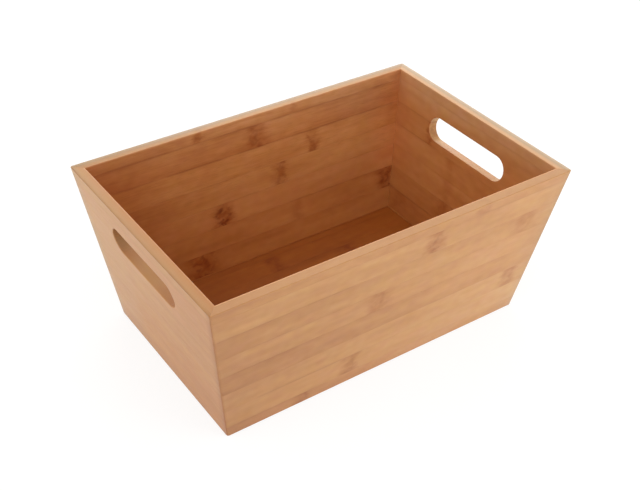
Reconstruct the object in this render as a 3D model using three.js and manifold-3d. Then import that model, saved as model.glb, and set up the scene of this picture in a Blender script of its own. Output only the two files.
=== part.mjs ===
// Bamboo storage box with splayed walls and a hand slot in each short end.
// Every board is glued up edge to edge from bamboo strips that run the long way of the board.
// The four wall boards meet in glued mitres, and the floor board sits in a groove round their feet.
// Millimetres, +Z up. The origin is the middle of the footprint, on the surface the box stands on.
// +X runs the long way of the box, and the front wall faces -Y.

import * as THREE from 'three';
import { mergeVertices } from 'three/addons/utils/BufferGeometryUtils.js';
import Module from 'manifold-3d';

// Box
const RIM_LENGTH = 300; // outside, over the rim, along X
const RIM_WIDTH = 198; // outside, over the rim, along Y
const BOX_HEIGHT = 130;
const SPLAY = 20; // how far each wall leans out between its foot and the rim
const BOARD = 8; // thickness of a wall, square to its face

// Bamboo strips, measured down the slope of a wall
const STRIP_WIDTH = 18.8;
const TOP_STRIP = { front: 8.2, back: 9.6, left_end: 9, right_end: 9 }; // cut down at the rim
const LEAST_STRIP = 7; // the narrowest strip left at the edge of a board
const GLUE_LINE = 0.05; // space between two glued faces

// Hand slots
const SLOT_LENGTH = 88;
const SLOT_HEIGHT = 20.6; // up the slope
const SLOT_BELOW_RIM = { left_end: 18.5, right_end: 20.2 }; // down the slope, to the upper edge

// Floor
const FLOOR_THICKNESS = 5;
const FLOOR_RISE = 4; // underside of the floor above the feet of the walls
const GROOVE_DEPTH = 3; // into the wall, level, at half the floor's thickness
const GROOVE_CLEARANCE = 0.2; // round the floor's edge in the groove

// Sanded arrises
const RIM_EASE = 0.5;
const CORNER_EASE = 1.6; // upright corners, seen from above
const FOOT_EASE = 0.8;
const SLOT_EASE = 0.5;
const EASE_STEPS = 4;
const SLOT_END_STEPS = 12; // along each round end of a slot

// How far a cutting shape reaches past the board that it cuts
const REACH = 5;

const LEAN = Math.atan2(SPLAY, BOX_HEIGHT);
const SLOPE_LENGTH = Math.hypot(SPLAY, BOX_HEIGHT);
const LEVEL_THICKNESS = BOARD / Math.cos(LEAN);
const FLOOR_MIDDLE = FLOOR_RISE + FLOOR_THICKNESS / 2;

// Walls, each made facing +X and turned about Z to its own side
const WALLS = [
  { name: 'right_end', turn: 0, half: RIM_LENGTH / 2, across: RIM_WIDTH / 2, slotted: true },
  { name: 'back', turn: Math.PI / 2, half: RIM_WIDTH / 2, across: RIM_LENGTH / 2, slotted: false },
  { name: 'left_end', turn: Math.PI, half: RIM_LENGTH / 2, across: RIM_WIDTH / 2, slotted: true },
  { name: 'front', turn: -Math.PI / 2, half: RIM_WIDTH / 2, across: RIM_LENGTH / 2, slotted: false },
];

const COLOURS = { wall: 0xcb9c6c, floor: 0xc2905f };

const wasm = await Module();
wasm.setup();

// Closed geometry to a solid that can be cut
function toSolid(geometry) {
  const bare = geometry.clone();
  bare.deleteAttribute('normal');
  bare.deleteAttribute('uv');
  const merged = mergeVertices(bare);
  const mesh = new wasm.Mesh({
    numProp: 3,
    vertProperties: new Float32Array(merged.attributes.position.array),
    triVerts: new Uint32Array(merged.index.array),
  });
  return new wasm.Manifold(mesh);
}

// Cut solid back to a geometry with flat facets
function toGeometry(solid) {
  const mesh = solid.getMesh();
  const indexed = new THREE.BufferGeometry();
  indexed.setAttribute('position', new THREE.BufferAttribute(mesh.vertProperties, 3));
  indexed.setIndex(new THREE.BufferAttribute(mesh.triVerts, 1));
  const geometry = indexed.toNonIndexed();
  geometry.computeVertexNormals();
  return geometry;
}

// Closed solid through outlines of the same number of points.
// Each outline turns left as seen from the end where the last one lies.
function loft(outlines) {
  const count = outlines[0].length;
  const last = (outlines.length - 1) * count;
  const index = [];
  for (let row = 0; row < last; row += count) {
    for (let i = 0; i < count; i += 1) {
      const j = (i + 1) % count;
      index.push(row + i, row + j, row + count + j);
      index.push(row + i, row + count + j, row + count + i);
    }
  }
  for (let i = 1; i < count - 1; i += 1) {
    index.push(0, i + 1, i);
    index.push(last, last + i, last + i + 1);
  }
  const geometry = new THREE.BufferGeometry();
  geometry.setFromPoints(outlines.flat());
  geometry.setIndex(index);
  return toSolid(geometry);
}

// How far the outside of a wall stands in from the rim at a height
function leanIn(z) {
  return SPLAY * (1 - z / BOX_HEIGHT);
}

// Point in the upright section of a wall: slope down its outer face, depth into the board
function sectionPoint(wall, slope, depth) {
  return {
    out: wall.half - slope * Math.sin(LEAN) - depth * Math.cos(LEAN),
    z: BOX_HEIGHT - slope * Math.cos(LEAN) + depth * Math.sin(LEAN),
  };
}

// Quarter round of an arris: along one face and square to it, both from the full radius to nothing
function quarterRound(radius) {
  const steps = [];
  for (let i = 0; i <= EASE_STEPS; i += 1) {
    const angle = (i / EASE_STEPS) * (Math.PI / 2);
    steps.push({ from: radius * (1 - Math.cos(angle)), inset: radius * (1 - Math.sin(angle)) });
  }
  return steps;
}

// Level outline of the outside of the box, with its upright corners rounded
function outsideOutline(z, inset) {
  const x = RIM_LENGTH / 2 - leanIn(z) - inset - CORNER_EASE;
  const y = RIM_WIDTH / 2 - leanIn(z) - inset - CORNER_EASE;
  const points = [];
  for (let corner = 0; corner < 4; corner += 1) {
    const sideX = corner === 0 || corner === 3 ? 1 : -1;
    const sideY = corner < 2 ? 1 : -1;
    for (let i = 0; i <= EASE_STEPS; i += 1) {
      const angle = (corner + i / EASE_STEPS) * (Math.PI / 2);
      const px = sideX * x + CORNER_EASE * Math.cos(angle);
      const py = sideY * y + CORNER_EASE * Math.sin(angle);
      points.push(new THREE.Vector3(px, py, z));
    }
  }
  return points;
}

// Level outline of the space inside the walls, grown by spread
function insideOutline(z, spread) {
  const x = RIM_LENGTH / 2 - leanIn(z) - LEVEL_THICKNESS + spread;
  const y = RIM_WIDTH / 2 - leanIn(z) - LEVEL_THICKNESS + spread;
  return [
    new THREE.Vector3(x, y, z),
    new THREE.Vector3(-x, y, z),
    new THREE.Vector3(-x, -y, z),
    new THREE.Vector3(x, -y, z),
  ];
}

// Outside of the box, with the arrises of its foot and rim sanded round
function outsideForm() {
  const foot = quarterRound(FOOT_EASE).map((step) => outsideOutline(step.from, step.inset));
  const rim = quarterRound(RIM_EASE).map((step) => outsideOutline(BOX_HEIGHT - step.from, step.inset));
  return loft([...foot, ...rim.reverse()]);
}

// Space inside the walls, open above and below, widened where the rim's inner arris is sanded
function insideForm() {
  const rim = quarterRound(RIM_EASE).map((step) => insideOutline(BOX_HEIGHT - step.from, step.inset));
  const above = insideOutline(BOX_HEIGHT + REACH, RIM_EASE);
  return loft([insideOutline(-REACH, 0), ...rim.reverse(), above]);
}

// Half size of the groove's bottom, across a pair of walls
function grooveReach(rimSize) {
  return rimSize / 2 - leanIn(FLOOR_MIDDLE) - LEVEL_THICKNESS + GROOVE_DEPTH;
}

// Groove round the feet of the walls
function grooveForm() {
  const length = 2 * grooveReach(RIM_LENGTH);
  const width = 2 * grooveReach(RIM_WIDTH);
  const groove = new THREE.BoxGeometry(length, width, FLOOR_THICKNESS + 2 * GROOVE_CLEARANCE);
  groove.translate(0, 0, FLOOR_MIDDLE);
  return toSolid(groove);
}

// Outline of a hand slot at a depth into the wall, grown by flare
function slotOutline(wall, depth, flare) {
  const middle = sectionPoint(wall, SLOT_BELOW_RIM[wall.name] + SLOT_HEIGHT / 2, depth);
  const radius = SLOT_HEIGHT / 2 + flare;
  const straight = (SLOT_LENGTH - SLOT_HEIGHT) / 2;
  const points = [];
  for (const end of [1, -1]) {
    for (let i = 0; i <= SLOT_END_STEPS; i += 1) {
      const angle = (i / SLOT_END_STEPS - 0.5) * Math.PI;
      const up = end * radius * Math.sin(angle);
      const x = middle.out + up * Math.sin(LEAN);
      const y = end * (straight + radius * Math.cos(angle));
      points.push(new THREE.Vector3(x, y, middle.z + up * Math.cos(LEAN)));
    }
  }
  return points;
}

// Hand slot cut square through an end wall, with both its mouths sanded round
function slotForm(wall) {
  const mouth = quarterRound(SLOT_EASE);
  const inner = mouth.map((step) => slotOutline(wall, BOARD - step.from, step.inset));
  const outer = mouth.map((step) => slotOutline(wall, step.from, step.inset));
  const inside = slotOutline(wall, BOARD + REACH, SLOT_EASE);
  const outside = slotOutline(wall, -REACH, SLOT_EASE);
  return loft([inside, ...inner, ...outer.reverse(), outside]);
}

// Blank that holds one strip of a wall: between two seams, and mitred at 45 degrees at both ends.
// The seams are square to the faces of the board.
function stripBlank(wall, from, to) {
  const section = [
    sectionPoint(wall, from, -REACH),
    sectionPoint(wall, to, -REACH),
    sectionPoint(wall, to, BOARD + REACH),
    sectionPoint(wall, from, BOARD + REACH),
  ];
  const setBack = (GLUE_LINE / 2) * Math.SQRT2;
  const outline = (end) => section.map((point) => {
    const along = wall.across - (wall.half - point.out) - setBack;
    return new THREE.Vector3(point.out, end * along, point.z);
  });
  return loft([outline(-1), outline(1)]);
}

// Seams down a wall, from the rim: a cut-down top strip, whole strips, and the rest as the foot strip
function wallSeams(wall) {
  const seams = [];
  const lowest = SLOPE_LENGTH - LEAST_STRIP;
  for (let seam = TOP_STRIP[wall.name]; seam <= lowest; seam += STRIP_WIDTH) {
    seams.push(seam);
  }
  return seams;
}

function bambooMesh(name, geometry, colour) {
  const material = new THREE.MeshStandardMaterial({ color: colour, roughness: 0.5, metalness: 0 });
  const mesh = new THREE.Mesh(geometry, material);
  mesh.name = name;
  return mesh;
}

// The strips of one wall, cut out of the finished form of the four walls
function wallStrips(wall, wallsForm) {
  const group = new THREE.Group();
  const seams = wallSeams(wall);
  const edges = [-REACH, ...seams, SLOPE_LENGTH + REACH];
  const degrees = THREE.MathUtils.radToDeg(wall.turn);
  for (let i = 0; i < seams.length + 1; i += 1) {
    const blank = stripBlank(wall, edges[i] + GLUE_LINE / 2, edges[i + 1] - GLUE_LINE / 2);
    const strip = wallsForm.intersect(blank.rotate([0, 0, degrees]));
    group.add(bambooMesh(`${wall.name}_strip_${i + 1}`, toGeometry(strip), COLOURS.wall));
  }
  return group;
}

// All four walls as one form, grooved, slotted and sanded, before it is parted into strips
function makeWallsForm() {
  let form = outsideForm().subtract(insideForm()).subtract(grooveForm());
  for (const wall of WALLS.filter((each) => each.slotted)) {
    const degrees = THREE.MathUtils.radToDeg(wall.turn);
    form = form.subtract(slotForm(wall).rotate([0, 0, degrees]));
  }
  return form;
}

// The floor's strips, which run along X: whole ones about the middle and a narrower one at each side
function floorStrips() {
  const group = new THREE.Group();
  const length = 2 * (grooveReach(RIM_LENGTH) - GROOVE_CLEARANCE);
  const width = 2 * (grooveReach(RIM_WIDTH) - GROOVE_CLEARANCE);
  const whole = Math.floor((width - 2 * LEAST_STRIP) / STRIP_WIDTH);
  const edges = [-width / 2];
  for (let i = 0; i <= whole; i += 1) {
    edges.push((i - whole / 2) * STRIP_WIDTH);
  }
  edges.push(width / 2);
  for (let i = 0; i < edges.length - 1; i += 1) {
    const from = edges[i] + (i > 0 ? GLUE_LINE / 2 : 0);
    const to = edges[i + 1] - (i < edges.length - 2 ? GLUE_LINE / 2 : 0);
    const geometry = new THREE.BoxGeometry(length, to - from, FLOOR_THICKNESS);
    const strip = bambooMesh(`floor_strip_${i + 1}`, geometry, COLOURS.floor);
    strip.position.set(0, (from + to) / 2, FLOOR_MIDDLE);
    group.add(strip);
  }
  return group;
}

function storageBox() {
  const box = new THREE.Group();
  const wallsForm = makeWallsForm();
  for (const wall of WALLS) {
    box.add(wallStrips(wall, wallsForm));
  }
  box.add(floorStrips());
  return box;
}

export default storageBox();
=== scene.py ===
import math
import random
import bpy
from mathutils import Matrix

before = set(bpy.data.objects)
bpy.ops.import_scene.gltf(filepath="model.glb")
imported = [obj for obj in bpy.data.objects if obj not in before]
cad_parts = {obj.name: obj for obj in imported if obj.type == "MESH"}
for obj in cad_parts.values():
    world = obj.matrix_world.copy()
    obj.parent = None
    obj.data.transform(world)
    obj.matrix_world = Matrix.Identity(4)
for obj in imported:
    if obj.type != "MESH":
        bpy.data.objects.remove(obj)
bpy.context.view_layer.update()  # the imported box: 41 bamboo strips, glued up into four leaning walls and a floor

from types import SimpleNamespace

import bpy
from mathutils import Matrix, Vector

bl_info = {
    "name": "Bamboo storage box",
    "version": (1, 0, 0),
    "blender": (4, 5, 0),
    "location": "View3D > Sidebar > Bamboo box",
    "description": "Gives the strips of a bamboo storage box their grain, knuckles, seams and lacquer",
    "category": "Object",
}

MM = 1000.0  # millimetres in a metre: every pattern below is worked out in millimetres

# The box as the solids have it, in millimetres.
RIM_LENGTH = 300.0
RIM_WIDTH = 198.0
BOX_HEIGHT = 130.0
SPLAY = 20.0
BOARD = 8.0
LEAN = math.atan2(SPLAY, BOX_HEIGHT)  # how far the walls lean out, as an angle

# Ranges of the finish: where a change begins and where it is full, and then, if that isn't nought to one,
# what it goes from and to. Lengths are in millimetres.
OFF_OUTER_FACE = (0.2, 0.9)  # a cut face, into the board from its outer face
OFF_INNER_FACE = (BOARD - 0.2, BOARD - 0.9)  # the same, from its inner face
INNER_FACE = (BOARD - 0.9, BOARD - 0.1)  # the inner face, into the board
STREAKS_CHANGE = (35.0, 85.0)  # from the streaks near the rim to those near the foot, down the slope
NEAR_FLOOR = (60.0, 105.0, 1.0, 0.0)  # where the painted light and shade of the inner corners die out, down the slope
INNER_SHADING_DOWN = (0.0, 120.0)  # the painted light and shade of the inner face, down the slope
RIM_TOP = ((BOX_HEIGHT - 1.0) / MM, (BOX_HEIGHT - 0.5) / MM)  # the rim's level face, up, in metres
RIM_ACROSS = (0.8, 6.0)  # the colours of the rim's level face, into the board
DARK_ARRIS = (2.0, 0.7)  # the thin darker line, off the outer arris of the rim
ARRIS_HIGHLIGHT = (1.3, 0.5)  # the painted highlight line, off the inner arris of the rim
SLOT_ENDS = (12.0, 42.0)  # from the flat faces of a hand slot to the tips of its round ends, along
SEAM_LINE = (1.0, 0.1, 0.0, 0.8)  # the glue line, off the seam
SEAM_STAIN = (4.0, 0.4, 0.0, 0.35)  # the wood that the glue has stained, off the seam
SEAM_ENDS = (-8.0, 8.0)  # how a seam comes to show, along
KNUCKLE_EDGE = (1.8, 0.2)  # the edge of a knuckle, in parts of its half length
KNUCKLE_STRAY = (0.25, 0.75, -4.0, 4.0)  # how far that edge strays along the grain, by its pattern
FIBRE_WANDER = (0.0, 1.0, -1.6, 1.6)  # how far the fibres wander across a strip, by their pattern
FIBRE_SWIRL = (0.0, 1.0, -3.0, 3.0)  # how far they swirl at a knuckle, by theirs
DASHES = (0.57, 0.74, 0.0, 0.11)  # how strong the fibre bundles are, by their pattern
STAIN = (0.36, 0.66, 0.4, 0.95)  # how strong the stain of a knuckle is, by its pattern
FLECKS = (0.44, 0.66, 0.12, 0.85)  # how strong its flecks are, by theirs
UNBROKEN = (0.34, 0.58, 0.1, 0.5)  # how much of the glue is left to see, by its pattern
FIBRES_STAND = (0.0, 2.0, 0.07, 0.45)  # how much the fibres stand up, by how much they show

# Single lengths in millimetres.
OUTER_SKIN = 2.5  # the outer face and its arris, into the board
SLOT_HALF = 46.0  # a little past the end of a hand slot, along from its middle
SLOT_BELOW = 12.0  # a little above a hand slot, down the slope
LONG_CANE = 900  # how much grain the strips take their own stretches from

# Patterns of the wood: their size in millimetres along the grain, across it and into the board, how much
# finer detail they hold, how rough that is, and how much it is twisted.
# These stay where they are on a strip.
STRIP_PATTERNS = {
    "ragged": ((16.0, 5.0, 5.0), 3.0, 0.7, 0.0),  # the frayed edge of a knuckle
    "drift": ((60.0, 14.0, 14.0), 1.0, 0.5, 0.0),  # the slow wander of the fibres
    "swirl": ((9.0, 6.0, 6.0), 2.0, 0.5, 0.0),  # their swirl at a knuckle
    "cast": ((12.0, 9.0, 9.0), 1.0, 0.6, 0.0),  # the drift between honey and rose
    "lump": ((7.0, 6.0, 6.0), 1.0, 0.4, 0.0),  # the stain of a knuckle
    "fleck": ((5.0, 4.5, 4.5), 1.0, 0.5, 0.3),  # the dark flecks in its middle
}
# These follow the fibres. Real fibre bundles are 0.3 mm wide; they are drawn at 0.5 mm to show.
FIBRE_PATTERNS = {
    "patch": ((70.0, 10.0, 10.0), 1.5, 0.5, 0.0),  # slow patches of tone
    "mottle": ((8.0, 5.0, 5.0), 0.5, 0.5, 0.0),  # the cloudiness of the pressed cane
    "dash": ((8.0, 0.5, 0.5), 1.0, 0.5, 0.0),  # fibre bundles, seen as dark dashes
}
# So do the streaks of tone, whose size the panel sets. The broad ones are this much longer and wider.
FINE_STREAK = (3.0, 0.6, 0.0)
BROAD_STREAK = (2.0, 0.5, 0.0)
BROAD_LONGER, BROAD_WIDER = 2.0, 3.2
# This one runs on over the seams of a board: where its glue shows and where it is lost.
SEAM_PATTERNS = {"gap": ((38.0, 9.0, math.inf), 2.0, 0.6, 0.0)}
PATTERN_MIDDLE = 0.5  # the value about which every pattern swings
STREAK_SWING = (0.3, 0.7)  # between these lie most values of the fine streaks

# Tone: nought is darker than the darkest strip and one paler than the palest.
TONE_STOPS = (0.1, 0.5, 0.9)  # where the dark, the middle and the pale strip lie
TONE_MIDDLE = 0.5  # where a strip of tone nought lies
TONE_STEP = 0.24  # one step of the tones that the boards are given
# How much each pattern moves the tone, and which fact of the board it follows.
TONE_LAYERS = (("patch", 0.66, "figure"), ("mottle", 0.28, "figure"), ("broad", 0.18, "fibre"),
               ("streak", 0.09, "fibre"))
HUE_AS_IT_IS = 0.5
HUE_LEAN = 0.0022  # how far a strip may lean to red or to yellow
CAST_LEAST = (1.0, 0.93, 0.8)  # what multiplies the colour where the cast of the cane is least
CAST_GAIN = (0.0, 0.14, 0.4)  # what that gains where it is most

CORE_CLOSENESS = 3.2  # how closely the flecks keep to the middle of a knuckle
SEAM_LEAST = 0.03  # how much of a seam shows even where no glue does
SLOT_STOPS = (0.0, 0.6, 1.0)  # where the three colours lie: of the slot's painted shade, of the rim, and of the inner face's painted light and shade
RIM_STOPS = (0.0, 0.4, 1.0)
INNER_SHADING_STOPS = (0.0, 0.22, 1.0)

# The lacquer.
SMOOTHER, ROUGHER = 0.06, 0.08  # how far its roughness swings along the fibres
FIBRE_HEIGHT = 0.00012  # how far the fibres stand up, in metres
SEAM_DIP = -0.8  # how far a seam sinks, in parts of that
LACQUER_IOR = 1.5

SMOOTH = {"interpolation_type": "SMOOTHSTEP"}
ON_STRIP = {"attribute_type": "OBJECT"}  # reads three numbers that are written on a strip


def linear(hex_colour):
    """An sRGB hex colour as the linear RGBA that the shaders take."""
    parts = [int(hex_colour[i:i + 2], 16) / 255 for i in (1, 3, 5)]
    return [p / 12.92 if p <= 0.04045 else ((p + 0.055) / 1.055) ** 2.4 for p in parts] + [1.0]


def add(tree, kind, inputs=(), **settings):
    """Adds a node, sets its options, then fills or links its inputs. They come as a row in the node's own
    order, or by name or number. A node that is given as an input is linked by its first output.
    A Map Range takes a value, the two ends of its range, and the two ends of the result's, which are nought
    and one if left out. A Mix takes numbers at 2 and 3, vectors at 4 and 5 and colours at 6 and 7."""
    node = tree.nodes.new("ShaderNode" + kind)
    for name, value in settings.items():
        setattr(node, name, value)
    for socket, value in inputs.items() if isinstance(inputs, dict) else enumerate(inputs):
        if isinstance(value, bpy.types.Node):
            value = value.outputs[0]
        if isinstance(value, bpy.types.NodeSocket):
            tree.links.new(value, node.inputs[socket])
        else:
            node.inputs[socket].default_value = value
    return node


def lay_patterns(tree, place, patterns):
    """Lays patterns of the wood on a place. Returns them by name."""
    laid = {}
    for name, (size, detail, roughness, twist) in patterns.items():
        spot = add(tree, "VectorMath", (place, [1 / side for side in size]), operation="MULTIPLY")
        laid[name] = add(tree, "TexNoise", {
            "Vector": spot, "Scale": 1.0, "Detail": detail, "Roughness": roughness, "Distortion": twist})
    return laid


def colour_stops(node, places, colours):
    """Sets the three stops of a colour ramp."""
    stops = node.color_ramp.elements
    stops.new(places[1])
    for stop, place, colour in zip(stops, places, colours):
        stop.position, stop.color = place, colour


def tinted(tree, colour, tint, far, limit=None):
    """Multiplies a colour by one plus a tint where a distance is nought, and less out to the tint's reach."""
    *triple, reach = tint
    close = add(tree, "MapRange", (far, reach, 0.0), **SMOOTH)
    if limit is not None:
        close = add(tree, "Math", (close, limit), operation="MULTIPLY")
    more = add(tree, "VectorMath", {0: triple, "Scale": close}, operation="SCALE")
    more = add(tree, "VectorMath", (more, (1.0, 1.0, 1.0)), operation="ADD")
    return add(tree, "VectorMath", (colour, more), operation="MULTIPLY")


def colour_prop(name, description, hex_colour):
    """A colour that shows as a swatch in the panel."""
    return bpy.props.FloatVectorProperty(
        name=name, description=description, subtype="COLOR", size=4, min=0.0, max=1.0,
        default=linear(hex_colour))


class BambooFinish(bpy.types.PropertyGroup):
    """The colours of the bamboo and the real sizes of its grain."""

    pale: colour_prop("Pale strip", "The palest wood between the fibres", "#D1A170")
    middle: colour_prop("Middle strip", "Most of the strips", "#C18C58")
    dark: colour_prop("Dark strip", "The darkest strips and streaks", "#AA7141")
    fibre: colour_prop("Fibres", "The dark bundles that run the length of a strip", "#8E5A30")
    knuckle: colour_prop("Knuckles", "The marks where the cane had its joints", "#A05C25")
    knuckle_core: colour_prop("Knuckles, dark core", "The darkest flecks in the knuckles", "#75330A")
    glue: colour_prop("Glue line", "The seam between two strips", "#8A4F28")
    # Painted shade: the floor board lies deep in the box, and this darker, more amber tint stands for the shade
    # there.
    floor_shade: colour_prop("Floor tint", "Multiplies the colour of the floor board", "#D3A057")
    # Painted highlight: the pale line on the rim's inner arris stands for light caught on the eased edge.
    arris: colour_prop("Sanded arris", "The paler wood along the inner edge of the rim", "#DEA06A")
    streak_length: bpy.props.FloatProperty(
        name="Streak length", description="How far a tone streak runs along the grain", default=0.016,
        min=0.005, max=0.2, unit="LENGTH", precision=4)
    streak_width: bpy.props.FloatProperty(
        name="Streak width", description="How wide a tone streak is across the grain", default=0.0007,
        min=0.0002, max=0.01, unit="LENGTH", precision=5)
    gloss: bpy.props.FloatProperty(
        name="Roughness", description="Roughness of the sanded and lacquered face", default=0.46,
        min=0.0, max=1.0, subtype="FACTOR")


class StudioLook(bpy.types.PropertyGroup):
    """The floor, the lamps and the camera."""

    floor: colour_prop("Floor", "The pale paper that the box stands on", "#F4F3F1")
    floor_size: bpy.props.FloatProperty(
        name="Floor size", description="Side of the square of paper", default=6.0, min=1.0, unit="LENGTH")
    light: bpy.props.FloatProperty(
        name="Light level", description="Multiplies every lamp", default=1.0, min=0.0, max=4.0,
        subtype="FACTOR")
    lens: bpy.props.FloatProperty(
        name="Lens", description="Focal length on a 36 mm wide sensor", default=61.3586, min=10.0,
        unit="CAMERA")


# What each board is like. A tint says how much more or less of red, green and blue there is, and how far in
# millimetres it reaches. The low end of a board is the one where the distance along it is least.
# turn: brings its outer face to the front. half: how far its rim is from the middle of the box.
# reach: how far from its middle the tones of its two ends lie.
# tones: how pale (+) or dark (-) each strip is, from the rim down, or on the floor from the front: first at
# the low end, then at the high end.
# knuckles: strip number, place along the board, half of its length and how strong it is.
# seams: the strip above it, where along the board it begins and ends to show and how strong it is.
# figure: how much the patches of the grain show: 1 is lively and 0 even.
# fibre: the same for its streaks, near the rim and near the foot.
# dark_arris: how dark the thin, broken line along the outer arris of the rim is. sanded: how strong the
# painted highlight on its inner arris is.
# rim: the colours across the rim's level face, from its outer arris in: its own tone, and on the back and
# right rims a pale grey painted sheen of the white room. rim_cover: how much of them shows.
# rim_end: the tint of the rim's level face at the high end, which takes away some of its painted sheen there.
# ends: the painted light and shade at the low and the high mitre. inner_ends: whether they are on the
# inner face alone.
# corners: the tints of the outer face at the low and the high upright corner.
# middle: the tint of the inner face at its middle, where more of the light falls.
# foot: the tint of the outer face at its foot. foot_from: from where to where along the board it sets in.
# inside: painted light and shade that multiply the inner face: a paler painted sheen at the rim, a darker,
# more amber painted shade a hand's width down, and less of it near the floor.
# slot: the painted shade that multiplies the sawn faces of the hand slot: at its middle, near its ends and on
# the end grain.
BOARDS = {
    "front": {
        "turn": 0.0,
        "half": RIM_WIDTH / 2,
        "reach": 110.0,
        "tones": ((-0.6, -0.3, -0.7, -0.6, -1.15, -0.55, -0.35, -0.6),
                  (-0.2, -0.05, -0.05, 0.2, 0.0, 0.8, 1.2, 0.9)),
        "knuckles": ((1, 68, 5, 0.4), (2, 28, 7, 0.72), (3, 116, 11, 0.45), (4, -14, 8, 0.58),
                     (6, 115, 6, 0.6), (7, -30, 6, 0.6), (8, -70, 6, 0.8)),
        "seams": ((1, 60, 140, 0.3), (2, -144, -40, 0.5), (3, -116, -50, 0.3), (4, -138, -60, 0.5),
                  (5, 20, 100, 0.3), (6, -104, -18, 0.5), (7, -126, -54, 0.3)),
        "figure": 0.8,
        "fibre": (0.14, 0.14),
        "dark_arris": 0.0,
        "sanded": 0.8,
        "rim": ("#BC8650", "#BF8A54", "#BC8650"),
        "rim_cover": 0.5,
        "ends": ((-0.07, -0.095, -0.1, 38.0), (-0.08, -0.06, -0.01, 38.0)),
        "corners": ((0.08, 0.07, 0.1, 2.4), (-0.1, -0.02, 0.12, 8.0)),
        "foot": (0.0, -0.04, -0.1, 60.0),
        "foot_from": (60.0, 0.0),
        "inside": ("#F8E8DC", "#F7DDC2", "#FFECCF"),
    },
    "back": {
        "turn": 180.0,
        "half": RIM_WIDTH / 2,
        "reach": 110.0,
        "tones": ((0.35, -0.2, 0.45, 1.1, 1.2, 0.65, 0.6, -0.9),
                  (-0.35, -0.75, 0.1, -0.25, -0.1, -0.75, -1.2, -1.2)),
        "knuckles": ((1, 51, 4, 0.75), (1, -35, 3, 0.4), (2, 1, 8, 0.77), (3, -51, 5, 0.72),
                     (4, -17, 6, 0.72), (5, 38, 7.5, 1.0), (6, -122, 8, 0.86), (6, -30, 5, 0.35),
                     (7, 61, 13, 0.88)),
        "seams": ((1, -126, 130, 0.85), (2, -130, 120, 0.9), (3, 20, 90, 0.25), (4, -60, 40, 0.15),
                  (5, -124, -26, 0.55), (6, -10, 70, 0.15)),
        "figure": 1.0,
        "fibre": (2.5, 0.6),
        "dark_arris": 0.15,
        "sanded": 0.2,
        "rim": ("#BEAD94", "#A98D6E", "#C08E56"),
        "rim_cover": 0.7,
        "rim_end": (-0.2, -0.3, -0.5, 110.0),
        "ends": ((0.23, 0.19, 0.3, 38.0), (-0.17, -0.31, -0.42, 75.0)),
        "inner_ends": True,
        "corners": ((-0.06, -0.1, -0.16, 4.0), (-0.06, -0.1, -0.16, 4.0)),
        "middle": (0.055, 0.06, 0.09, 120.0),
        "inside": ("#F6E8DC", "#F7DDC2", "#FFE6C4"),
    },
    "left_end": {
        "turn": 90.0,
        "half": RIM_LENGTH / 2,
        "reach": 70.0,
        "tones": ((0.1, 0.2, 0.15, 0.1, 0.05, 0.15, 0.1, 0.0),
                  (-0.65, -0.5, -0.55, -0.65, -0.75, -0.8, -0.9, -0.9)),
        "knuckles": (),
        "seams": ((1, -60, 20, 0.1), (3, -40, 60, 0.08), (5, -70, 0, 0.12), (6, 0, 60, 0.1),
                  (7, -60, 60, 0.2)),
        "figure": 0.42,
        "fibre": (0.05, 0.05),
        "dark_arris": 0.45,
        "sanded": 0.3,
        "rim": ("#A17238", "#AD7943", "#B27033"),
        "rim_cover": 0.5,
        "ends": ((-0.03, 0.02, 0.05, 120.0), (0.0, -0.02, -0.1, 120.0)),
        "corners": ((-0.08, 0.06, 0.3, 14.0), (-0.18, -0.28, -0.39, 8.2)),
        "foot": (0.05, -0.03, -0.3, 95.0),
        "foot_from": (-50.0, -20.0),
        "inside": ("#F8E8DC", "#F7DDC2", "#FFECCF"),
        "slot": ("#EDE9DF", "#E6D6CC", "#DAD5CD"),
    },
    "right_end": {
        "turn": -90.0,
        "half": RIM_LENGTH / 2,
        "reach": 70.0,
        "tones": ((0.2, -0.2, -0.1, -0.4, -0.5, -1.1, -1.6, -1.3),
                  (0.6, 0.85, 0.65, 0.7, 0.8, 0.45, -0.3, -0.2)),
        "knuckles": ((3, 41, 4, 0.7), (4, 11, 5, 0.35), (5, 8, 5, 0.35), (6, 9, 5, 0.66), (7, 61, 9, 0.4)),
        "seams": ((1, -50, 40, 0.3), (2, -30, 70, 0.3), (3, 30, 80, 0.35), (5, -60, 10, 0.3),
                  (6, 20, 80, 0.8)),
        "figure": 1.05,
        "fibre": (0.32, 0.32),
        "dark_arris": 0.15,
        "sanded": 0.3,
        "rim": ("#CAB69A", "#AD9778", "#D2A474"),
        "rim_cover": 0.7,
        "ends": ((), (0.11, 0.03, 0.05, 38.0)),
        "inner_ends": True,
        "corners": ((-0.06, -0.1, -0.16, 4.0), (-0.06, -0.1, -0.16, 4.0)),
        "inside": ("#F2F0F8", "#F7DDC2", "#FFE6C4"),
        "slot": ("#FFFFFF", "#FFFFFF", "#F4FCD8"),
    },
    "floor": {
        "reach": 110.0,
        "tones": ((-0.3, -0.5, -0.2, -0.3, -0.4, -0.1, -0.4, -0.3, -0.2),
                  (0.2, 0.0, 0.1, 0.2, -0.1, 0.2, 0.1, 0.2, 0.1)),
        "knuckles": ((8, -4, 6, 0.7), (7, 57, 7, 0.7), (5, -62, 6, 0.6), (3, 31, 7, 0.6), (2, -88, 6, 0.5)),
        "seams": ((1, -90, 10, 0.5), (2, -20, 100, 0.6), (3, -110, -30, 0.5), (4, 20, 110, 0.5),
                  (5, -60, 60, 0.4), (6, -100, 0, 0.5), (7, -30, 70, 0.4), (8, 10, 110, 0.4)),
        "figure": 1.0,
        "fibre": (0.8, 0.8),
    },
}


NO_SEAM = (0, 0, 0)
NO_KNUCKLE = (999, 1, 0)  # far off the board, and of no strength


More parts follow.
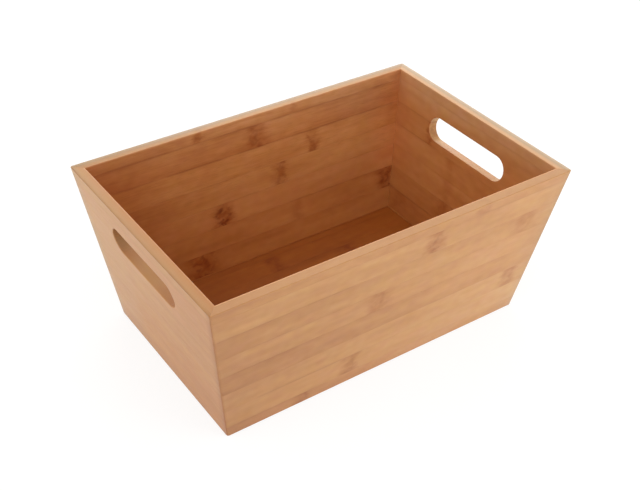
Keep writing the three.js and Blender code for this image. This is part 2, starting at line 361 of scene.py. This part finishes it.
def board_place(board):
    """The turn and shift that take a point of the box to its board: x along the grain, y down the slope
    from the rim, z into the board from its outer face, in millimetres."""
    if board == "floor":
        return Matrix.Identity(3), Vector((0.0, 0.0, 0.0))
    facts = BOARDS[board]
    to_front = Matrix.Rotation(math.radians(facts["turn"]), 3, "Z")
    lay_flat = Matrix.Rotation(math.pi / 2 - LEAN, 3, "X")
    down = facts["half"] * math.sin(LEAN) + BOX_HEIGHT * math.cos(LEAN)
    deep = facts["half"] * math.cos(LEAN) - BOX_HEIGHT * math.sin(LEAN)
    return lay_flat @ to_front, Vector((0.0, down, deep))


def strip_edges(piece, board):
    """The two seams of a strip, as distances down its board in millimetres."""
    turn, shift = board_place(board)
    across = [(turn @ (vertex.co * MM) + shift).y for vertex in piece.data.vertices]
    return min(across), max(across)


def mark_strips(board):
    """Writes on each strip of a board what its material reads there: its seams, its tone, where its own
    stretch of grain starts, and its one or two knuckles. Returns the strips."""
    facts = BOARDS[board]
    names = [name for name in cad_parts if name.startswith(board + "_strip_")]
    names.sort(key=lambda name: int(name.split("_")[-1]))
    if not names:
        raise RuntimeError("the frame holds no strips of the board " + board)
    strips = []
    for number, name in enumerate(names, 1):
        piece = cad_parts[name]
        dice = random.Random(name)
        low, high = strip_edges(piece, board)
        # The rim and the foot are no seams, so those two edges are put out of reach.
        if board != "floor":
            low = low if number > 1 else -BOX_HEIGHT
            high = high if number < len(names) else 2 * BOX_HEIGHT
        tone = [ends[number - 1] if number <= len(ends) else 0.0 for ends in facts["tones"]]
        piece["strip_edges"] = (low, high, 0.0)
        piece["strip_tone"] = (*tone, dice.uniform(-1.0, 1.0))
        piece["strip_grain"] = [dice.uniform(0, LONG_CANE) for _ in range(3)]
        for prop, above in (("seam_above", number - 1), ("seam_below", number)):
            shows = [seam[1:] for seam in facts["seams"] if seam[0] == above]
            piece[prop] = [float(x) for x in (shows or [NO_SEAM])[0]]
        own = [knuckle[1:] for knuckle in facts["knuckles"] if knuckle[0] == number]
        for prop, knuckle in zip(("knuckle_first", "knuckle_second"), own + [NO_KNUCKLE] * 2):
            piece[prop] = [float(x) for x in knuckle]
        strips.append(piece)
    return strips


def start_wood(tree, board, finish):
    """What every stage of a board's finish works from: where it is along the grain, across it and into the
    board, in millimetres, and the patterns that stay where they are."""
    turn, shift = board_place(board)
    box = add(tree, "TexCoord").outputs["Object"]
    place = add(tree, "Mapping", {
        "Vector": box, "Location": shift, "Rotation": turn.to_euler("XYZ"), "Scale": (MM, MM, MM)},
        vector_type="POINT")
    along, across, depth = add(tree, "SeparateXYZ", (place,)).outputs
    stretch = add(tree, "Attribute", attribute_name="strip_grain", **ON_STRIP).outputs["Vector"]
    own = add(tree, "VectorMath", (place, stretch), operation="ADD")
    return SimpleNamespace(
        tree=tree, facts=BOARDS[board], finish=finish, box=box, place=place, along=along, across=across,
        depth=depth, own=own, pattern=lay_patterns(tree, own, STRIP_PATTERNS))


def find_knuckles(wood):
    """Knuckles are bands across the strip, with a ragged edge that wanders a few millimetres."""
    tree = wood.tree
    wobble = add(tree, "MapRange", (wood.pattern["ragged"], *KNUCKLE_STRAY), clamp=False)
    strayed = add(tree, "Math", (wood.along, wobble), operation="ADD")
    bands = []
    for name in ("knuckle_first", "knuckle_second"):
        knuckle = add(tree, "Attribute", attribute_name=name, **ON_STRIP).outputs["Vector"]
        middle, half, strength = add(tree, "SeparateXYZ", (knuckle,)).outputs
        off = add(tree, "Math", (strayed, middle), operation="SUBTRACT")
        share = add(tree, "Math", (off, half), operation="DIVIDE")
        far = add(tree, "Math", (share,), operation="ABSOLUTE")
        band = add(tree, "MapRange", (far, *KNUCKLE_EDGE), **SMOOTH)
        bands.append(add(tree, "Math", (band, strength), operation="MULTIPLY"))
    wood.knuckle = add(tree, "Math", bands, operation="MAXIMUM")


def lay_fibres(wood):
    """The fibres run straight, wander by a millimetre, and swirl at a knuckle."""
    tree = wood.tree
    wander = add(tree, "MapRange", (wood.pattern["drift"], *FIBRE_WANDER), clamp=False)
    swirl = add(tree, "MapRange", (wood.pattern["swirl"], *FIBRE_SWIRL), clamp=False)
    curled = add(tree, "Math", (swirl, wood.knuckle, wander), operation="MULTIPLY_ADD")
    sway = add(tree, "CombineXYZ", (0.0, curled, curled))
    swayed = add(tree, "VectorMath", (wood.own, sway), operation="ADD")
    long, wide = wood.finish.streak_length * MM, wood.finish.streak_width * MM
    longer, wider = BROAD_LONGER * long, BROAD_WIDER * wide
    wood.pattern.update(lay_patterns(tree, swayed, {
        **FIBRE_PATTERNS,
        "streak": ((long, wide, wide), *FINE_STREAK),
        "broad": ((longer, wider, wider), *BROAD_STREAK)}))
    wood.fibre = add(tree, "MapRange", (wood.across, *STREAKS_CHANGE, *wood.facts["fibre"]), **SMOOTH)


def strip_colour(wood):
    """The colour of a strip: its tone, slow patches on that, then streaks, and a lean to red or yellow."""
    tree, facts, finish = wood.tree, wood.facts, wood.finish
    tones = add(tree, "Attribute", attribute_name="strip_tone", **ON_STRIP).outputs["Vector"]
    low, high, lean = add(tree, "SeparateXYZ", (tones,)).outputs
    way = add(tree, "MapRange", (wood.along, -facts["reach"], facts["reach"]))
    tone = add(tree, "Mix", {0: way, 2: low, 3: high}, data_type="FLOAT")
    level = add(tree, "Math", (tone, TONE_STEP, TONE_MIDDLE), operation="MULTIPLY_ADD")
    shows = {"figure": facts["figure"], "fibre": wood.fibre}
    for name, amount, follows in TONE_LAYERS:
        even = add(tree, "Math", (wood.pattern[name], PATTERN_MIDDLE), operation="SUBTRACT")
        even = add(tree, "Math", (even, shows[follows]), operation="MULTIPLY")
        level = add(tree, "Math", (even, amount, level), operation="MULTIPLY_ADD")
    ramp = add(tree, "ValToRGB", (level,))
    colour_stops(ramp, TONE_STOPS, (finish.dark, finish.middle, finish.pale))
    hue = add(tree, "Math", (lean, HUE_LEAN, HUE_AS_IT_IS), operation="MULTIPLY_ADD")
    colour = add(tree, "HueSaturation", {"Hue": hue, "Color": ramp})
    # The cane drifts between honey and rose over a centimetre, and takes the steam unevenly.
    cast = add(tree, "VectorMath", (wood.pattern["cast"].outputs["Color"], CAST_GAIN, CAST_LEAST),
               operation="MULTIPLY_ADD")
    return add(tree, "VectorMath", (colour, cast), operation="MULTIPLY")


def find_faces(wood):
    """Where the wood of a wall is on its outer face, on its inner face and off that, and how far it is from
    the mitres at its two ends."""
    tree = wood.tree
    wood.outer = add(tree, "Math", (wood.depth, OUTER_SKIN), operation="LESS_THAN")
    wood.inner = add(tree, "MapRange", (wood.depth, *INNER_FACE), **SMOOTH)
    wood.off_inner = add(tree, "MapRange", (wood.depth, *OFF_INNER_FACE), **SMOOTH)
    half_length = (RIM_LENGTH + RIM_WIDTH) / 2 - wood.facts["half"]
    far = add(tree, "Math", (wood.across, -math.sin(LEAN), half_length), operation="MULTIPLY_ADD")
    far = add(tree, "Math", (wood.depth, -math.cos(LEAN), far), operation="MULTIPLY_ADD")
    wood.to_low_mitre = add(tree, "Math", (far, wood.along), operation="ADD")
    wood.to_high_mitre = add(tree, "Math", (far, wood.along), operation="SUBTRACT")


def tint_wall(wood, colour):
    """Paints light and shade on each wall. Near the mitres it is lighter or darker where light gathers in or
    is lost from the box's corners, and the inner face is lighter at its middle, where more of the light
    falls. The outer face is also tinted near its upright corners and towards its foot."""
    tree, facts = wood.tree, wood.facts
    limit = None
    if facts.get("inner_ends"):
        off_floor = add(tree, "MapRange", (wood.across, *NEAR_FLOOR), **SMOOTH)
        limit = add(tree, "Math", (off_floor, wood.inner), operation="MULTIPLY")
    to_mitres = (wood.to_low_mitre, wood.to_high_mitre)
    # Painted light and shade near the two mitres, and tints near the upright outer corners.
    for far, end, corner in zip(to_mitres, facts["ends"], facts["corners"]):
        if end:
            colour = tinted(tree, colour, end, far, limit)
        colour = tinted(tree, colour, corner, far, wood.outer)
    if "middle" in facts:
        off_middle = add(tree, "Math", (wood.along,), operation="ABSOLUTE")
        not_outer = add(tree, "Math", (1.0, wood.outer), operation="SUBTRACT")
        colour = tinted(tree, colour, facts["middle"], off_middle, not_outer)
    if "foot" in facts:
        to_foot = add(tree, "Math", (BOX_HEIGHT / math.cos(LEAN), wood.across), operation="SUBTRACT")
        set_in = add(tree, "MapRange", (wood.along, *facts["foot_from"]), **SMOOTH)
        set_in = add(tree, "Math", (set_in, wood.outer), operation="MULTIPLY")
        colour = tinted(tree, colour, facts["foot"], to_foot, set_in)
    return colour


def draw_bundles(wood, colour):
    """Fibre bundles: dark dashes about 8 mm long."""
    tree = wood.tree
    dashes = add(tree, "MapRange", (wood.pattern["dash"], *DASHES), **SMOOTH)
    dashes = add(tree, "Math", (dashes, wood.fibre), operation="MULTIPLY")
    return add(tree, "Mix", {0: dashes, 6: colour, 7: wood.finish.fibre}, data_type="RGBA").outputs[2]


def stain_knuckles(wood, colour):
    """A knuckle has an orange-brown stain over its band, drawn out along the grain, and dark flecks in its
    middle."""
    tree, finish = wood.tree, wood.finish
    lumps = add(tree, "MapRange", (wood.pattern["lump"], *STAIN), **SMOOTH)
    stained = add(tree, "Math", (wood.knuckle, lumps), operation="MULTIPLY", use_clamp=True)
    colour = add(tree, "Mix", {0: stained, 6: colour, 7: finish.knuckle}, data_type="RGBA").outputs[2]
    flecks = add(tree, "MapRange", (wood.pattern["fleck"], *FLECKS), **SMOOTH)
    core = add(tree, "Math", (wood.knuckle, CORE_CLOSENESS), operation="POWER")
    dotted = add(tree, "Math", (core, flecks), operation="MULTIPLY", use_clamp=True)
    return add(tree, "Mix", {0: dotted, 6: colour, 7: finish.knuckle_core}, data_type="RGBA").outputs[2]


def draw_seams(wood, colour):
    """The glue of a seam shows as a soft brown line, strong in places and lost in others."""
    tree = wood.tree
    edges = add(tree, "Attribute", attribute_name="strip_edges", **ON_STRIP).outputs["Vector"]
    low, high, _ = add(tree, "SeparateXYZ", (edges,)).outputs
    from_low = add(tree, "Math", (wood.across, low), operation="SUBTRACT")
    from_high = add(tree, "Math", (high, wood.across), operation="SUBTRACT")
    nearest = add(tree, "Math", (from_low, from_high), operation="MINIMUM")
    thin = add(tree, "MapRange", (nearest, *SEAM_LINE), **SMOOTH)
    soaked = add(tree, "MapRange", (nearest, *SEAM_STAIN), **SMOOTH)
    line = add(tree, "Math", (thin, soaked), operation="ADD", use_clamp=True)
    gap = lay_patterns(tree, wood.place, SEAM_PATTERNS)["gap"]
    wood.unbroken = add(tree, "MapRange", (gap, *UNBROKEN), **SMOOTH)
    # Each strip knows the seam above it and the one below; the nearer one is drawn.
    below = add(tree, "Attribute", attribute_name="seam_below", **ON_STRIP).outputs["Vector"]
    above = add(tree, "Attribute", attribute_name="seam_above", **ON_STRIP).outputs["Vector"]
    upper = add(tree, "Math", (from_low, from_high), operation="LESS_THAN")
    seam_shows = add(tree, "Mix", {0: upper, 4: below, 5: above}, data_type="VECTOR")
    begins, stops, strength = add(tree, "SeparateXYZ", (seam_shows.outputs[1],)).outputs
    begun = add(tree, "Math", (wood.along, begins), operation="SUBTRACT")
    left = add(tree, "Math", (stops, wood.along), operation="SUBTRACT")
    within = add(tree, "Math", (begun, left), operation="MINIMUM")
    here = add(tree, "MapRange", (within, *SEAM_ENDS), **SMOOTH)
    shown = add(tree, "Math", (here, strength), operation="MULTIPLY")
    shown = add(tree, "Math", (shown, wood.unbroken, SEAM_LEAST), operation="MULTIPLY_ADD")
    wood.seam = add(tree, "Math", (line, shown), operation="MULTIPLY")
    return add(tree, "Mix", {0: wood.seam, 6: colour, 7: wood.finish.glue}, data_type="RGBA").outputs[2]


def shade_slot(wood, colour):
    """The slot is sawn through the board: its long faces show the sides of the fibres, and its round ends
    their cut tips. Its faces get painted shade, darker towards the round ends, where less light reaches in."""
    tree = wood.tree
    off_outer = add(tree, "MapRange", (wood.depth, *OFF_OUTER_FACE), **SMOOTH)
    from_middle = add(tree, "Math", (wood.along,), operation="ABSOLUTE")
    at_slot = add(tree, "Math", (from_middle, SLOT_HALF), operation="LESS_THAN")
    below_rim = add(tree, "Math", (wood.across, SLOT_BELOW), operation="GREATER_THAN")
    sawn = add(tree, "Math", (off_outer, wood.off_inner), operation="MULTIPLY")
    sawn = add(tree, "Math", (sawn, at_slot), operation="MULTIPLY")
    sawn = add(tree, "Math", (sawn, below_rim), operation="MULTIPLY")
    # Painted shade: the sawn faces darken towards the round ends of the slot.
    round_end = add(tree, "MapRange", (from_middle, *SLOT_ENDS))
    tint = add(tree, "ValToRGB", (round_end,))
    colour_stops(tint, SLOT_STOPS, [linear(stop) for stop in wood.facts["slot"]])
    return add(tree, "Mix", {0: sawn, 6: colour, 7: tint}, data_type="RGBA",
               blend_type="MULTIPLY").outputs[2]


def shade_rim(wood, colour):
    """The rim's level face takes colours of its own across its width. On the back and right rims they hold a
    pale grey painted sheen of the white room, which is greyest towards the outer arris.
    """
    tree, facts = wood.tree, wood.facts
    height = add(tree, "SeparateXYZ", (wood.box,)).outputs[2]
    at_rim = add(tree, "MapRange", (height, *RIM_TOP, 0.0, facts["rim_cover"]))
    level_face = add(tree, "Math", (wood.off_inner, at_rim), operation="MULTIPLY")
    inwards = add(tree, "MapRange", (wood.depth, *RIM_ACROSS))
    # Partly painted sheen: the pale grey of the back and right rims stands for the white room reflected in the
    # lacquer.
    rim = add(tree, "ValToRGB", (inwards,))
    colour_stops(rim, RIM_STOPS, [linear(stop) for stop in facts["rim"]])
    if "rim_end" in facts:
        rim = tinted(tree, rim, facts["rim_end"], wood.to_high_mitre)
    return add(tree, "Mix", {0: level_face, 6: colour, 7: rim}, data_type="RGBA").outputs[2]


def paint_arrises_and_inner_shading(wood, colour):
    """Draws a thin, broken, darker line along the outer arris of the rim. Paints light and shade on the
    inner face, which turns it deeper and more amber, paler near the rim, and paints a pale highlight on its
    arris at the rim."""
    tree, facts, finish = wood.tree, wood.facts, wood.finish
    # A thin, broken, darker line along the outer arris of the rim.
    slope = add(tree, "VectorMath", (wood.place, (0.0, 1.0, 1.0)), operation="MULTIPLY")
    off_outer = add(tree, "VectorMath", (slope,), operation="LENGTH").outputs["Value"]
    dark_arris = add(tree, "MapRange", (off_outer, *DARK_ARRIS, 0.0, facts["dark_arris"]), **SMOOTH)
    dark_arris_line = add(tree, "Math", (dark_arris, wood.unbroken), operation="MULTIPLY")
    colour = add(tree, "Mix", {0: dark_arris_line, 6: colour, 7: finish.glue}, data_type="RGBA").outputs[2]
    # Painted light and shade on the inner face: darker and more amber down the slope, paler near the rim.
    down = add(tree, "MapRange", (wood.across, *INNER_SHADING_DOWN))
    inner_shading_ramp = add(tree, "ValToRGB", (down,))
    colour_stops(inner_shading_ramp, INNER_SHADING_STOPS, [linear(stop) for stop in facts["inside"]])
    colour = add(tree, "Mix", {0: wood.inner, 6: colour, 7: inner_shading_ramp}, data_type="RGBA",
                 blend_type="MULTIPLY").outputs[2]
    # Painted highlight: a pale line along the inner arris of the rim, where light catches the eased edge.
    inner_arris = (0.0, -BOARD * math.tan(LEAN), -BOARD)
    from_inner = add(tree, "VectorMath", (slope, inner_arris), operation="ADD")
    off_inner = add(tree, "VectorMath", (from_inner,), operation="LENGTH").outputs["Value"]
    sanded = add(tree, "MapRange", (off_inner, *ARRIS_HIGHLIGHT, 0.0, facts["sanded"]), **SMOOTH)
    return add(tree, "Mix", {0: sanded, 6: colour, 7: finish.arris}, data_type="RGBA").outputs[2]


def pressed_bamboo(board, finish):
    """Steamed, flat-pressed bamboo, sanded and given a thin satin lacquer. Steaming turns the pale cane to a
    warm caramel. The eye gets long straight fibres under a soft sheen, a step of tone at each seam, and a
    darker, frayed knuckle across a strip here and there."""
    material = bpy.data.materials.new("steamed_bamboo_satin_lacquer_" + board)
    material.use_nodes = True
    tree = material.node_tree
    tree.nodes.clear()
    wood = start_wood(tree, board, finish)
    find_knuckles(wood)
    lay_fibres(wood)
    colour = strip_colour(wood)
    if board != "floor":
        find_faces(wood)
        colour = tint_wall(wood, colour)
    colour = draw_bundles(wood, colour)
    colour = stain_knuckles(wood, colour)
    colour = draw_seams(wood, colour)
    if board == "floor":
        # Painted shade: the whole floor board is multiplied darker and more amber.
        colour = add(tree, "Mix", {0: 1.0, 6: colour, 7: finish.floor_shade}, data_type="RGBA",
                     blend_type="MULTIPLY").outputs[2]
    else:
        if "slot" in wood.facts:
            colour = shade_slot(wood, colour)
        colour = shade_rim(wood, colour)
        colour = paint_arrises_and_inner_shading(wood, colour)

    # Satin lacquer: the fibres stand up by less than a tenth of a millimetre and break the sheen.
    streak = wood.pattern["streak"]
    smoothest, roughest = finish.gloss - SMOOTHER, finish.gloss + ROUGHER
    sheen = add(tree, "MapRange", (streak, *STREAK_SWING, smoothest, roughest))
    raised = add(tree, "Math", (wood.seam, SEAM_DIP, streak), operation="MULTIPLY_ADD")
    stands_up = add(tree, "MapRange", (wood.fibre, *FIBRES_STAND))
    bump = add(tree, "Bump", {"Strength": stands_up, "Distance": FIBRE_HEIGHT, "Height": raised})
    face = add(tree, "BsdfPrincipled", {
        "Base Color": colour, "Roughness": sheen, "IOR": LACQUER_IOR, "Specular IOR Level": 0.5,
        "Coat Weight": 0.15, "Coat Roughness": 0.35, "Coat IOR": LACQUER_IOR, "Normal": bump})
    add(tree, "OutputMaterial", {"Surface": face})
    return material


def dress_board(board, finish):
    """Marks the strips of a board and gives them the board's bamboo."""
    strips = mark_strips(board)
    material = pressed_bamboo(board, finish)
    for piece in strips:
        for slot in piece.material_slots:
            slot.material = material


class BAMBOO_OT_front_wall(bpy.types.Operator):
    """Finish the strips of the front wall"""

    bl_idname = "bamboo_box.front_wall"
    bl_label = "Front wall"

    def execute(self, context):
        dress_board("front", context.scene.bamboo_finish)
        return {"FINISHED"}


class BAMBOO_OT_back_wall(bpy.types.Operator):
    """Finish the strips of the back wall"""

    bl_idname = "bamboo_box.back_wall"
    bl_label = "Back wall"

    def execute(self, context):
        dress_board("back", context.scene.bamboo_finish)
        return {"FINISHED"}


class BAMBOO_OT_left_end(bpy.types.Operator):
    """Finish the strips of the left end, with its hand slot"""

    bl_idname = "bamboo_box.left_end"
    bl_label = "Left end"

    def execute(self, context):
        dress_board("left_end", context.scene.bamboo_finish)
        return {"FINISHED"}


class BAMBOO_OT_right_end(bpy.types.Operator):
    """Finish the strips of the right end, with its hand slot"""

    bl_idname = "bamboo_box.right_end"
    bl_label = "Right end"

    def execute(self, context):
        dress_board("right_end", context.scene.bamboo_finish)
        return {"FINISHED"}


class BAMBOO_OT_floor_board(bpy.types.Operator):
    """Finish the strips of the box's floor"""

    bl_idname = "bamboo_box.floor_board"
    bl_label = "Floor board"

    def execute(self, context):
        dress_board("floor", context.scene.bamboo_finish)
        return {"FINISHED"}


# The studio: its paper floor, its white room, its soft boxes and its camera.
PAPER_FIBRE = 2.0  # how long the fibres of the paper are, in millimetres
PAPER_SHADE = (0.0, 1.0, 0.98, 1.0)  # how little the fibres darken the paper
PAPER_DULL = (0.8, 0.8, 0.8, 1.0)
PAPER_GLOW = 1.12  # its light to the camera
PAPER_SHARE = 0.72  # how much of what the camera sees of it is that light
ROOM = (0.35, 0.9, 0.76, 0.70)  # the room's light, from its walls up to its ceiling
WHITE = (1.0, 1.0, 1.0, 1.0)


def aim(thing, place, target, roll=0.0):
    """Puts a lamp or the camera at a place, turned to a target."""
    look = (Vector(target) - Vector(place)).to_track_quat("-Z", "Y").to_matrix()
    thing.rotation_euler = (look @ Matrix.Rotation(roll, 3, "Z")).to_euler()
    thing.location = place


def seen_white(tree):
    """One where the camera, the lacquer's gloss or glass looks, and nought where light is gathered."""
    ray = add(tree, "LightPath").outputs
    seen = add(tree, "Math", (ray["Is Camera Ray"], ray["Is Glossy Ray"]), operation="MAXIMUM")
    return add(tree, "Math", (seen, ray["Is Transmission Ray"]), operation="MAXIMUM")


def studio_floor(studio):
    """Smooth matte studio paper. It is lit like the box and keeps the box's shadow, and the camera and the
    lacquer see it white."""
    material = bpy.data.materials.new("matte_studio_paper")
    material.use_nodes = True
    tree = material.node_tree
    tree.nodes.clear()
    coords = add(tree, "TexCoord")
    # The fibres are far too faint to show as a pattern.
    pulp = add(tree, "TexNoise", {
        "Vector": coords.outputs["Object"], "Scale": MM / PAPER_FIBRE, "Detail": 2.0})
    shade = add(tree, "MapRange", (pulp, *PAPER_SHADE))
    paper = add(tree, "Mix", {0: shade, 6: PAPER_DULL, 7: studio.floor}, data_type="RGBA")
    matte = add(tree, "BsdfDiffuse", {"Color": paper.outputs[2], "Roughness": 1.0})
    glow = add(tree, "Emission", {"Color": WHITE, "Strength": PAPER_GLOW})
    mixed = add(tree, "Math", (seen_white(tree), PAPER_SHARE), operation="MULTIPLY")
    both = add(tree, "MixShader", (mixed, matte, glow))
    add(tree, "OutputMaterial", {"Surface": both})
    return material


def studio_world():
    """A soft white room, brighter at its walls than its ceiling. The camera and the lacquer see it white."""
    world = bpy.data.worlds.new("soft_white_room")
    world.use_nodes = True
    tree = world.node_tree
    tree.nodes.clear()
    coords = add(tree, "TexCoord")
    up = add(tree, "SeparateXYZ", (coords.outputs["Generated"],)).outputs[2]
    room = add(tree, "MapRange", (up, *ROOM), **SMOOTH)
    strength = add(tree, "Mix", {0: seen_white(tree), 2: room, 3: 1.0}, data_type="FLOAT")
    sky = add(tree, "Background", {"Color": WHITE, "Strength": strength})
    add(tree, "OutputWorld", {"Surface": sky})
    return world


# Soft boxes: name, place (m), wide and high (m), power (W), and whether it shows in the lacquer's sheen.
SOFT_BOXES = (
    ("left_soft_box", (-1.35, 0.30, 0.45), 1.1, 0.7, 4.6, False),
    ("overhead_soft_box", (-0.15, -0.50, 1.20), 0.8, 0.6, 1.5, False),
    ("front_right_soft_box", (0.62, -0.75, 0.20), 0.7, 0.35, 3.5, False),
    ("back_right_soft_box", (0.75, 1.05, 0.80), 1.2, 0.7, 11.0, False),
    ("back_low_soft_box", (0.75, 1.30, 0.55), 1.4, 0.4, 3.5, True),
)
LAMP_TARGET = (0.0, 0.0, 0.06)

# The camera that the straight edges of the box fit.
EYE = (-0.384498, -0.536576, 0.548857)
LOOKED_AT = (0.016766, 0.024008, 0.039642)
CAMERA_ROLL = math.radians(1.620)
SENSOR_WIDTH = 36.0
NEAREST, FARTHEST = 0.01, 50.0


class BAMBOO_OT_studio(bpy.types.Operator):
    """Lay the pale floor, hang the soft boxes and set up the camera"""

    bl_idname = "bamboo_box.studio"
    bl_label = "Floor, light and camera"

    def execute(self, context):
        studio = context.scene.bamboo_studio
        half = studio.floor_size / 2
        mesh = bpy.data.meshes.new("studio_floor")
        corners = [(-half, -half, 0), (half, -half, 0), (half, half, 0), (-half, half, 0)]
        mesh.from_pydata(corners, [], [(0, 1, 2, 3)])
        floor = bpy.data.objects.new("studio_floor", mesh)
        mesh.materials.append(studio_floor(studio))
        context.scene.collection.objects.link(floor)
        context.scene.world = studio_world()
        for name, place, wide, high, power, shines in SOFT_BOXES:
            lamp = bpy.data.lights.new(name, "AREA")
            lamp.shape = "RECTANGLE"
            lamp.size, lamp.size_y, lamp.energy = wide, high, power * studio.light
            holder = bpy.data.objects.new(name, lamp)
            context.scene.collection.objects.link(holder)
            aim(holder, place, LAMP_TARGET)
            holder.visible_camera = False
            holder.visible_glossy = shines
        camera = bpy.data.cameras.new("camera")
        camera.lens, camera.sensor_width = studio.lens, SENSOR_WIDTH
        camera.clip_start, camera.clip_end = NEAREST, FARTHEST
        eye = bpy.data.objects.new("camera", camera)
        context.scene.collection.objects.link(eye)
        aim(eye, EYE, LOOKED_AT, CAMERA_ROLL)
        context.scene.camera = eye
        context.scene.view_settings.view_transform = "Standard"
        return {"FINISHED"}


class BAMBOO_PT_panel(bpy.types.Panel):
    """The box's finish and studio, in the sidebar of the 3D view"""

    bl_idname = "BAMBOO_PT_panel"
    bl_label = "Bamboo box"
    bl_space_type = "VIEW_3D"
    bl_region_type = "UI"
    bl_category = "Bamboo box"

    def draw(self, context):
        column = self.layout.column()
        for group in (context.scene.bamboo_finish, context.scene.bamboo_studio):
            for name in type(group).__annotations__:
                column.prop(group, name)
        for operator in OPERATORS:
            column.operator(operator.bl_idname)


OPERATORS = (
    BAMBOO_OT_front_wall,
    BAMBOO_OT_back_wall,
    BAMBOO_OT_left_end,
    BAMBOO_OT_right_end,
    BAMBOO_OT_floor_board,
    BAMBOO_OT_studio,
)
CLASSES = (BambooFinish, StudioLook, *OPERATORS, BAMBOO_PT_panel)


def register():
    for each in CLASSES:
        bpy.utils.register_class(each)
    bpy.types.Scene.bamboo_finish = bpy.props.PointerProperty(type=BambooFinish)
    bpy.types.Scene.bamboo_studio = bpy.props.PointerProperty(type=StudioLook)


def unregister():
    del bpy.types.Scene.bamboo_studio
    del bpy.types.Scene.bamboo_finish
    for each in reversed(CLASSES):
        bpy.utils.unregister_class(each)


def main():
    register()
    bpy.ops.bamboo_box.front_wall()
    bpy.ops.bamboo_box.back_wall()
    bpy.ops.bamboo_box.left_end()
    bpy.ops.bamboo_box.right_end()
    bpy.ops.bamboo_box.floor_board()
    bpy.ops.bamboo_box.studio()


if __name__ == "__main__":
    main()
